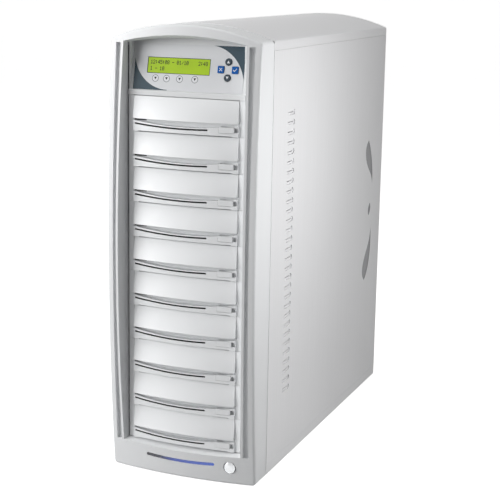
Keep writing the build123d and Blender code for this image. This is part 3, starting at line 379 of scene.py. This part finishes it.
def make_display():
    """The lit display: yellow-green with a faint unevenness, and painted shade along its rim and sides."""
    rim_shade_colour, unlit = (0.030, 0.036, 0.028, 1), (0.0, 0.0, 0.0, 1)
    material, tree, shader = new_material("lit_display", Roughness=0.3, Specular_IOR_Level=0.25)
    shader.inputs["Emission Strength"].default_value = 0.18
    face = place_effect(tree, FACE_PLACE)
    across = maths(tree, "ABSOLUTE", maths(tree, "SUBTRACT", face["Across"], DISPLAY_MIDDLE[0]))
    up = maths(tree, "ABSOLUTE", maths(tree, "SUBTRACT", face["Up"], DISPLAY_MIDDLE[1]))
    # painted shade: a dark band along the display's rim and on its sides, with no glow there
    rim_shade_mask = maths(
        tree, "MAXIMUM", spread(tree, across, *RIM_ACROSS, 0.0, 1.0), spread(tree, up, *RIM_UP, 0.0, 1.0)
    )
    dark = maths(tree, "MAXIMUM", rim_shade_mask, spread(tree, face["Out"], *SIDE_SHADE_DEPTHS, 1.0, 0.0))
    cloud = noise(tree, own_place(tree), scale=60.0, detail=2.0)
    lit = tinted(tree, (0.37, 0.55, 0.020), spread(tree, cloud, 0.3, 0.7, 0.96, 1.04))
    tree.links.new(blended(tree, dark, lit, rim_shade_colour), shader.inputs["Base Color"])
    tree.links.new(blended(tree, dark, lit, unlit), shader.inputs["Emission Color"])
    return material


BAR_HALF = 45.5 * MM
BAR_LEFT, BAR_RIGHT = (0.001, 0.001, 0.006, 1), (0.030, 0.085, 0.420, 1)
BAR_STOPS = ((0.20, (0.002, 0.003, 0.020, 1)), (0.42, (0.030, 0.060, 0.300, 1)))


def make_light_bar():
    """A translucent blue bar, dark at its left end and lit towards its right end."""
    material, tree, shader = new_material(
        "light_bar_blue", Roughness=0.18, Coat_Weight=0.5, Coat_Roughness=0.08
    )
    shader.inputs["Emission Strength"].default_value = 0.35
    x = put_node(tree, "ShaderNodeSeparateXYZ", {0: own_place(tree)}).outputs[0]
    ramp = put_node(tree, "ShaderNodeValToRGB", {0: spread(tree, x, -BAR_HALF, BAR_HALF, 0.0, 1.0)})
    ramp.color_ramp.elements[0].color = BAR_LEFT
    ramp.color_ramp.elements[1].color = BAR_RIGHT
    for place, colour in BAR_STOPS:
        ramp.color_ramp.elements.new(place).color = colour
    for socket in ("Base Color", "Emission Color"):
        tree.links.new(ramp.outputs[0], shader.inputs[socket])
    return material


TRACKS = 0.55                   # copper tracks for each mm of the board
TRACK_EDGE = (0.42, 0.5)        # where a track starts in its pitch
COPPER_SHARE = 0.5
CHIP_DEPTHS = (-10.9, -10.7)    # mm out of the face: behind these the board is chips


def make_board():
    """A circuit board: green mask with fine copper lines, black chips on its rear."""
    mask_green, track_green = (0.012, 0.085, 0.028, 1), (0.040, 0.170, 0.050, 1)
    chip_black = (0.010, 0.010, 0.011, 1)
    material, tree, shader = new_material("circuit_board", Roughness=0.35)
    face = place_effect(tree, FACE_PLACE)
    lines = []
    for label in ("Across", "Up"):
        wave = maths(tree, "FRACT", maths(tree, "MULTIPLY", face[label], TRACKS))
        lines.append(spread(tree, wave, *TRACK_EDGE, 0.0, 1.0))
    patch = maths(tree, "GREATER_THAN", noise(tree, own_place(tree), scale=55.0, detail=0.0), 0.5)
    copper = maths(tree, "MULTIPLY", blended_value(tree, patch, lines[0], lines[1]), COPPER_SHARE)
    green = blended(tree, copper, mask_green, track_green)
    chips = spread(tree, face["Out"], *CHIP_DEPTHS, 1.0, 0.0)
    tree.links.new(blended(tree, chips, green, chip_black), shader.inputs["Base Color"])
    return material


def colour_so_far(material):
    """A finished material's nodes, its shader's colour input, and what feeds that now."""
    tree = material.node_tree
    colour = tree.nodes["Principled BSDF"].inputs["Base Color"]
    return tree, colour, colour.links[0].from_socket


# the side sheets' recesses, in metres: further in than this, and behind this
RECESS_INSIDE = 0.0962
RECESS_BEHIND = 0.15


def fill_recesses(material):
    """Paint the floors of the side sheets' recesses grey: what lies below the sheet's face there."""
    recess_grey = (0.20, 0.20, 0.21, 1)
    tree, colour, plain = colour_so_far(material)
    x, y, z = put_node(tree, "ShaderNodeSeparateXYZ", {0: own_place(tree)}).outputs
    below = maths(tree, "LESS_THAN", maths(tree, "ABSOLUTE", x), RECESS_INSIDE)
    rear = maths(tree, "GREATER_THAN", y, RECESS_BEHIND)
    shade = maths(tree, "MULTIPLY", below, rear)
    tree.links.new(blended(tree, shade, plain, recess_grey), colour)


# where painted shade goes in the covers' slots and end pockets, in metres; heights are above the floor of
# their bay
SLOT_DEPTH = (0.0006, 0.012)    # behind the bowed lip's face
SLOT_ACROSS = (-0.0665, 0.0304)
SLOT_FOOT = 0.003
SLOT_TOP = 0.0078               # at the middle of the lip
SLOT_RISE = 1.16                # how far the top rises for each metre that the lip curves back
POCKET_Y = (-0.2358, -0.2300)
POCKET_HEIGHT = (0.0127, 0.0152)
POCKET_ACROSS = (-0.0672, -0.0515)


def paint_slot_shade(material):
    """Paint black shade onto the walls of the covers' slots and end pockets, behind the bowed lip's face.
    """
    # painted shade: the slots and end pockets are coloured black where shade falls inside them
    slot_shade_black = (0.004, 0.004, 0.004, 1)
    tree, colour, plain = colour_so_far(material)
    x, y, z = put_node(tree, "ShaderNodeSeparateXYZ", {0: own_place(tree)}).outputs
    height = maths(tree, "MODULO", maths(tree, "SUBTRACT", z, BAY_FLOOR), BAY_PITCH)
    bow = maths(tree, "MULTIPLY", maths(tree, "MULTIPLY", x, x), LIP_CURVE)
    behind = maths(tree, "SUBTRACT", maths(tree, "SUBTRACT", y, LIP_FACE), bow)
    below_rise = maths(tree, "SUBTRACT", height, maths(tree, "MULTIPLY", bow, SLOT_RISE))
    in_slot = between(tree, behind, SLOT_DEPTH) + between(tree, x, SLOT_ACROSS) + [
        maths(tree, "GREATER_THAN", height, SLOT_FOOT), maths(tree, "LESS_THAN", below_rise, SLOT_TOP)
    ]
    in_pocket = (
        between(tree, y, POCKET_Y) + between(tree, height, POCKET_HEIGHT) + between(tree, x, POCKET_ACROSS)
    )
    shade = maths(tree, "MAXIMUM", all_hold(tree, in_slot), all_hold(tree, in_pocket))
    tree.links.new(blended(tree, shade, plain, slot_shade_black), colour)


DRIVE_MOULDING = {
    "colour": (0.74, 0.75, 0.76), "roughness": 0.46, "tone": 0.04, "grain": 2400.0, "Metallic": 0.12,
}
case_plastic = plastic("case_plastic", (0.80, 0.81, 0.82), 0.42)
drive_plastic = plastic("drive_plastic", **DRIVE_MOULDING)
cover_plastic = plastic("cover_plastic", **DRIVE_MOULDING)
tray_plastic = plastic("tray_plastic", (0.020, 0.021, 0.023), 0.55, tone=0.2, grain=900.0, dust=0.05)
black_plastic = plastic("black_plastic", (0.012, 0.012, 0.013), 0.45, tone=0.2, grain=1100.0, dust=0.25)
button_silver = plastic(
    "button_silver", (0.60, 0.61, 0.62), 0.24, tone=0.04, grain=2600.0, Metallic=0.7
)
slate_key = plastic(
    "slate_key", (0.026, 0.042, 0.056), 0.5, tone=0.1, grain=1800.0, Specular_IOR_Level=0.3
)
blue_key = plastic(
    "blue_key", (0.002, 0.105, 0.400), 0.45, tone=0.08, grain=1800.0, Specular_IOR_Level=0.2
)
foot_rubber = plastic("foot_rubber", (0.010, 0.010, 0.010), 0.75, tone=0.3, grain=700.0, dust=0.2)
white_print = plastic("white_print", (0.80, 0.81, 0.83), 0.5, grain=3000.0)
dark_print = plastic(
    "dark_print", (0.012, 0.014, 0.016), 0.5, tone=0.1, grain=3000.0, Specular_IOR_Level=0.2
)
grey_print = plastic("grey_print", (0.11, 0.12, 0.13), 0.5, tone=0.1, grain=3000.0)
side_steel = steel(
    "side_steel", BRUSHED, (0.74, 0.74, 0.75), 0.42, 0.16, Metallic=0.1, Stretch=(1.0, 1.0, 0.015)
)
cover_steel = steel(
    "cover_steel", BRUSHED, (0.72, 0.72, 0.73), 0.42, 0.12, Metallic=0.15, Stretch=(1.0, 0.015, 1.0)
)
rear_steel = steel(
    "rear_steel", SPANGLE, (0.55, 0.56, 0.57), 0.4, 0.22, Metallic=0.85, Crystals=120.0
)
frame_steel = steel(
    "frame_steel", SPANGLE, (0.50, 0.51, 0.52), 0.38, 0.3, Metallic=0.9, Crystals=150.0
)
screw_steel = steel(
    "screw_steel", BRUSHED, (0.52, 0.52, 0.53), 0.3, 0.2, Metallic=1.0, Stretch=(1.0, 1.0, 1.0)
)
printed_film = make_film()
lit_display = make_display()
light_bar_blue = make_light_bar()
circuit_board = make_board()
fill_recesses(side_steel)
# the covers carry painted black shade in their slots and end pockets
paint_slot_shade(cover_plastic)


WELD = 0.000002                 # metres
FLATNESS = math.radians(0.4)
SHARP_ANGLE = math.radians(28.0)
EDGE_SEGMENTS = 2


def dressed(node, material, width):
    """A copy of a CAD node, merged and flattened into clean faces, with its sharp edges softened."""
    source = frame["nodes"][node]
    mesh = source.data.copy()
    work = bmesh.new()
    work.from_mesh(mesh)
    bmesh.ops.remove_doubles(work, verts=work.verts, dist=WELD)
    bmesh.ops.dissolve_limit(
        work, angle_limit=FLATNESS, verts=work.verts, edges=work.edges, use_dissolve_boundaries=False
    )
    for face in work.faces:
        face.smooth = True
    for edge in work.edges:
        if len(edge.link_faces) == 2:
            edge.smooth = edge.calc_face_angle(0.0) < SHARP_ANGLE
    work.to_mesh(mesh)
    work.free()
    mesh.materials.clear()
    mesh.materials.append(material)
    piece = bpy.data.objects.new(f"{node}_shell", mesh)
    bpy.context.scene.collection.objects.link(piece)
    if width:
        bevel = piece.modifiers.new("soft_edges", "BEVEL")
        bevel.width = width * MM
        bevel.segments = EDGE_SEGMENTS
        bevel.limit_method = "ANGLE"
        bevel.angle_limit = SHARP_ANGLE
        bevel.harden_normals = True
        bevel.use_clamp_overlap = True
    weigh = piece.modifiers.new("flat_faces", "WEIGHTED_NORMAL")
    weigh.keep_sharp = True
    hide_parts(node)
    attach(piece, source["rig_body"])


# each node's material, and the width of its soft edges in mm
DRESSED = {
    "front_bezel": (case_plastic, 0.35),
    "control_housing": (case_plastic, 0.3),
    "drive_covers": (cover_plastic, 0.25),
    "top_cover": (cover_steel, 0.3),
    "left_side_panel": (side_steel, 0.25),
    "right_side_panel": (side_steel, 0.25),
    "base_pan": (side_steel, 0.3),
    "rear_panel": (rear_steel, 0.3),
    "psu_case": (frame_steel, 0.2),
    "psu_inlet": (black_plastic, 0.3),
    "psu_rocker": (black_plastic, 0.3),
    "fan_frames": (black_plastic, 0.4),
    "fan_guards": (screw_steel, 0.5),
    "upper_impeller": (black_plastic, 0.3),
    "lower_impeller": (black_plastic, 0.3),
    "power_button": (button_silver, 0.2),
    "light_bar": (light_bar_blue, 0.2),
    "up_key": (slate_key, 0.0),
    "down_key": (slate_key, 0.0),
    "escape_key": (blue_key, 0.0),
    "enter_key": (blue_key, 0.0),
    "rubber_feet": (foot_rubber, 0.3),
}
for bay in BAYS:
    DRESSED[f"front_panel_{bay:02d}"] = (drive_plastic, 0.0)
    DRESSED[f"eject_button_{bay:02d}"] = (drive_plastic, 0.25)
    DRESSED[f"disc_tray_{bay:02d}"] = (tray_plastic, 0.3)
for node, (material, width) in DRESSED.items():
    dressed(node, material, width)

# nodes that are shown as they are
PLAIN = {
    "case_screws": screw_steel,
    "control_overlay": printed_film,
    "controller_board": circuit_board,
    "drive_cage": frame_steel,
    "drive_casings": frame_steel,
    "front_frame": frame_steel,
    "lcd_module": lit_display,
    "power_switch": black_plastic,
}
for node, material in PLAIN.items():
    mesh = frame["nodes"][node].data
    mesh.materials.clear()
    mesh.materials.append(material)


# ---- printed marks, raised a hair above the faces that carry them; all sizes here are in mm
CIRCLE_STEPS = 48


def on_face(across, up, out):
    """Points of the control face: its foot, plus each measure times its own direction."""
    across, up, out = np.broadcast_arrays(across, up, out)
    steps = across[..., None] * FACE_ACROSS + up[..., None] * FACE_UP + out[..., None] * FACE_OUT
    return FACE_FOOT + steps * MM


def flat_shape(outline, low, high):
    """A closed slab: an outline in the face at a low and a high level.

    Each side face joins two neighbouring corners at one level to the same two at the other, and
    the outline itself closes both ends.
    """
    outline = np.asarray(outline, float)
    count = len(outline)
    points = np.vstack([on_face(outline[:, 0], outline[:, 1], level) for level in (low, high)])
    index = np.arange(count)
    after = np.roll(index, -1)
    sides = np.stack([index, after, after + count, index + count], 1)
    return points, sides.tolist() + [index[::-1].tolist(), (index + count).tolist()]


def ring_shape(centre, inner, outer, low, high):
    """A closed flat ring: a rectangle carried round a circle.

    A point is the centre plus its radius times the cosine and sine of the turn, at its level, where
    the rectangle's corners have the inner or outer radius and the low or high level.
    """
    turn = np.linspace(0, 2 * math.pi, CIRCLE_STEPS, endpoint=False)[:, None]
    radius = np.array((inner, outer, outer, inner))[None, :]
    level = np.array((low, low, high, high))[None, :]
    points = on_face(
        centre[0] + radius * np.cos(turn), centre[1] + radius * np.sin(turn), level
    ).reshape(-1, 3)
    row, column = np.meshgrid(np.arange(CIRCLE_STEPS), np.arange(4), indexing="ij")
    row, column = row.ravel(), column.ravel()
    next_row, next_column = (row + 1) % CIRCLE_STEPS, (column + 1) % 4
    faces = np.stack(
        [row * 4 + column, next_row * 4 + column, next_row * 4 + next_column, row * 4 + next_column], 1
    )
    return points, faces.tolist()


def disc(centre, radius):
    """A circle's outline: the centre plus the radius times the cosine and sine of the turn."""
    turn = np.linspace(0, 2 * math.pi, CIRCLE_STEPS, endpoint=False)
    return np.stack([centre[0] + radius * np.cos(turn), centre[1] + radius * np.sin(turn)], 1)


def triangle(centre, width, height, pointing):
    """A triangle's outline; pointing is 1 for up and -1 for down."""
    x, up = centre
    tip = pointing * height / 2
    return [(x - pointing * width / 2, up - tip), (x + pointing * width / 2, up - tip), (x, up + tip)]


def stroke(start, end, width):
    """A straight bar's outline: two points, each moved half the width to both sides."""
    start, end = np.array(start, float), np.array(end, float)
    along = (end - start) / np.linalg.norm(end - start)
    side = np.array((-along[1], along[0])) * width / 2
    return [start - side, end - side, end + side, start + side]


def cross(centre, reach, width):
    """A cross: two bars, each between opposite corners of a square about the centre."""
    x, up = centre
    return [
        stroke((x - reach, up - reach), (x + reach, up + reach), width),
        stroke((x - reach, up + reach), (x + reach, up - reach), width),
    ]


def tick(centre, width):
    """A tick: a short bar down to the foot and a long bar up from it."""
    x, up = centre
    return [
        stroke((x - 2.2, up + 0.1), (x - 0.5, up - 1.6), width),
        stroke((x - 0.7, up - 1.6), (x + 2.3, up + 1.7), width),
    ]


def marks(name, shapes, material, body):
    """One piece made of several closed shapes."""
    points, faces, start = [], [], 0
    for shape_points, shape_faces in shapes:
        points.append(shape_points)
        faces += [[corner + start for corner in face] for face in shape_faces]
        start += len(shape_points)
    mesh = bpy.data.meshes.new(name)
    mesh.from_pydata(np.vstack(points).tolist(), [], faces)
    work = bmesh.new()
    work.from_mesh(mesh)
    bmesh.ops.recalc_face_normals(work, faces=work.faces)
    work.to_mesh(mesh)
    work.free()
    mesh.materials.append(material)
    piece = bpy.data.objects.new(name, mesh)
    bpy.context.scene.collection.objects.link(piece)
    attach(piece, body)


PRINT_SINK = 0.02               # how deep a print starts below the face that carries it
PRINT_RISE = 0.03               # and how far it stands above that face
PRINT_LOW = FILM_TOP - PRINT_SINK
PRINT_HIGH = FILM_TOP + PRINT_RISE
SOFT_KEYS = [(-41.3, 13.6), (-27.0, 13.7), (-10.2, 13.8), (9.2, 14.1)]
RING_INNER, RING_OUTER = 3.65, 4.2
GROUND_RADIUS = 3.6
SOFT_ARROW = (3.4, 3.1)

rings = [ring_shape(spot, RING_INNER, RING_OUTER, PRINT_LOW, PRINT_HIGH) for spot in SOFT_KEYS]
marks("soft_key_rings", rings, grey_print, "tower")
grounds = [flat_shape(disc(spot, GROUND_RADIUS), PRINT_LOW, PRINT_HIGH) for spot in SOFT_KEYS]
marks("soft_key_grounds", grounds, white_print, "tower")
arrows = [
    flat_shape(triangle(spot, *SOFT_ARROW, -1), PRINT_HIGH - PRINT_SINK, PRINT_HIGH + PRINT_RISE)
    for spot in SOFT_KEYS
]
marks("soft_key_arrows", arrows, dark_print, "tower")

KEY_LOW = KEY_TOP - PRINT_SINK
KEY_HIGH = KEY_TOP + PRINT_RISE
BAR_LIFT = 0.005                # each further bar of a mark lies this much higher
UP_KEY, DOWN_KEY = (49.8, 36.2), (49.8, 17.8)
ESCAPE_KEY, ENTER_KEY = (40.9, 27.1), (58.7, 27.1)
KEY_ARROW = (3.6, 3.2)
CROSS_REACH = 1.7
BAR_WIDTH = 0.8


def key_mark(key, outlines):
    """The white print on one key."""
    shapes = [flat_shape(outline, KEY_LOW, KEY_HIGH + BAR_LIFT * i) for i, outline in enumerate(outlines)]
    marks(f"{key}_mark", shapes, white_print, key)


key_mark("up_key", [triangle(UP_KEY, *KEY_ARROW, 1)])
key_mark("down_key", [triangle(DOWN_KEY, *KEY_ARROW, -1)])
key_mark("escape_key", cross(ESCAPE_KEY, CROSS_REACH, BAR_WIDTH))
key_mark("enter_key", tick(ENTER_KEY, BAR_WIDTH))

# ---- display characters: rows of five dots, seven rows to a character
DOT_ROWS = {
    "0": (14, 17, 19, 21, 25, 17, 14),
    "1": (4, 12, 4, 4, 4, 4, 14),
    "2": (14, 17, 1, 2, 4, 8, 31),
    "4": (2, 6, 10, 18, 31, 2, 2),
    "5": (31, 16, 30, 1, 1, 17, 14),
    "8": (14, 17, 17, 14, 17, 17, 14),
    ":": (0, 12, 12, 0, 12, 12, 0),
    "-": (0, 0, 0, 31, 0, 0, 0),
    "/": (0, 1, 2, 4, 8, 16, 0),
}
DISPLAY_LINES = (("12:45:08 - 01/10    2:48", 32.4), ("1 - 10", 25.0))
DOT_COLUMNS = 5
MIDDLE_ROW = 3
CELL = 3.06                     # the width of one character's place
CELLS_BEFORE_MIDDLE = 12
CELL_MARGIN = 0.3
DOT_STEP = (0.53, 0.66)
DOT = (0.66, 0.72)
DOT_RISE = 0.02                 # above the display's face, and as much below it


def display_dots():
    """Each lit dot is a small flat slab on the display's face."""
    dots = []
    for text, middle in DISPLAY_LINES:
        for place, character in enumerate(text):
            left = DISPLAY_MIDDLE[0] - CELLS_BEFORE_MIDDLE * CELL + place * CELL + CELL_MARGIN
            for row, bits in enumerate(DOT_ROWS.get(character, ())):
                for column in range(DOT_COLUMNS):
                    if bits >> (DOT_COLUMNS - 1 - column) & 1:
                        x, up = left + column * DOT_STEP[0], middle + (MIDDLE_ROW - row) * DOT_STEP[1]
                        right, top = x + DOT[0], up + DOT[1]
                        outline = [(x, up), (right, up), (right, top), (x, top)]
                        dots.append(flat_shape(outline, DISPLAY_TOP - DOT_RISE, DISPLAY_TOP + DOT_RISE))
    return dots


marks("display_characters", display_dots(), dark_print, "tower")


# ---- floor, lights, camera
FLOOR_HALF = 60.0
FLOOR_LIT, FLOOR_SEEN = (0.25, 0.25, 0.25, 1), (0.9, 0.9, 0.9, 1)
FLOOR_GLOW = 0.88
SKY_LIT, SKY_SEEN = 0.05, 1.0
WHITE = (1, 1, 1, 1)


def make_floor():
    """A wide flat floor: near white where it is seen, and duller for the light it sends back."""
    half = FLOOR_HALF
    corners = [(-half, -half, 0), (half, -half, 0), (half, half, 0), (-half, half, 0)]
    mesh = bpy.data.meshes.new("floor")
    mesh.from_pydata(corners, [], [(0, 1, 2, 3)])
    material, tree, shader = new_material("floor_white", Roughness=0.9)
    seen = seen_rays(tree)
    tree.links.new(blended(tree, seen, FLOOR_LIT, FLOOR_SEEN), shader.inputs["Base Color"])
    strength = maths(tree, "MULTIPLY", seen, FLOOR_GLOW)
    glow = put_node(tree, "ShaderNodeEmission", {"Color": WHITE, "Strength": strength})
    both = put_node(tree, "ShaderNodeAddShader", {0: shader.outputs[0], 1: glow.outputs[0]})
    tree.links.new(both.outputs[0], tree.nodes["Material Output"].inputs["Surface"])
    mesh.materials.append(material)
    floor = bpy.data.objects.new("floor", mesh)
    bpy.context.scene.collection.objects.link(floor)


def make_sky():
    """A world that is white where it is seen and gives the tower only a faint even light."""
    world = bpy.data.worlds.new("studio")
    bpy.context.scene.world = world
    world.use_nodes = True
    tree = world.node_tree
    background = tree.nodes["Background"].inputs
    background["Color"].default_value = WHITE
    strength = spread(tree, seen_rays(tree), 0.0, 1.0, SKY_LIT, SKY_SEEN)
    tree.links.new(strength, background["Strength"])


def lamp(name, place, target, size, power):
    """A soft square lamp that looks at a target."""
    light = bpy.data.lights.new(name, "AREA")
    light.size = size
    light.energy = power
    item = bpy.data.objects.new(name, light)
    item.location = place
    item.rotation_euler = (Vector(target) - Vector(place)).to_track_quat("-Z", "Y").to_euler()
    bpy.context.scene.collection.objects.link(item)


# the photograph's viewpoint: place, degrees of yaw to the left, pitch down and roll, focal length
CAMERA_PLACE = (0.63489, -1.60817, 0.61243)
CAMERA_TURNS = (21.907, 12.220, 0.979)
FOCAL_PIXELS = 1298.92
IMAGE_PIXELS = 500.0
SENSOR_WIDTH = 36.0
FAR_CLIP = 100.0


def aim_camera():
    """The camera, from its turns: ahead first, then right and up rolled about it."""
    yaw, pitch, roll = (math.radians(turn) for turn in CAMERA_TURNS)
    ahead = Vector((-math.sin(yaw) * math.cos(pitch), math.cos(yaw) * math.cos(pitch), -math.sin(pitch)))
    right = Vector((math.cos(yaw), math.sin(yaw), 0.0))
    up = right.cross(ahead)
    turned_right = math.cos(roll) * right + math.sin(roll) * up
    turned_up = -math.sin(roll) * right + math.cos(roll) * up
    data = bpy.data.cameras.new("camera")
    data.sensor_width = SENSOR_WIDTH
    data.lens = FOCAL_PIXELS * SENSOR_WIDTH / IMAGE_PIXELS
    data.clip_end = FAR_CLIP
    camera = bpy.data.objects.new("camera", data)
    basis = Matrix((turned_right, turned_up, -ahead)).transposed().to_4x4()
    camera.matrix_world = Matrix.Translation(CAMERA_PLACE) @ basis
    bpy.context.scene.collection.objects.link(camera)
    bpy.context.scene.camera = camera


make_floor()
make_sky()
lamp("key_lamp", (-1.72, -1.45, 0.80), target=(0, -0.2, 0.28), size=1.3, power=46.0)
lamp("right_lamp", (0.52, -0.19, 0.44), target=(0.097, -0.16, 0.38), size=0.2, power=1.8)
lamp("top_lamp", (-0.1, -0.5, 1.9), target=(0, -0.1, 0.4), size=0.9, power=10.0)
aim_camera()
bpy.context.scene.view_settings.view_transform = "Standard"
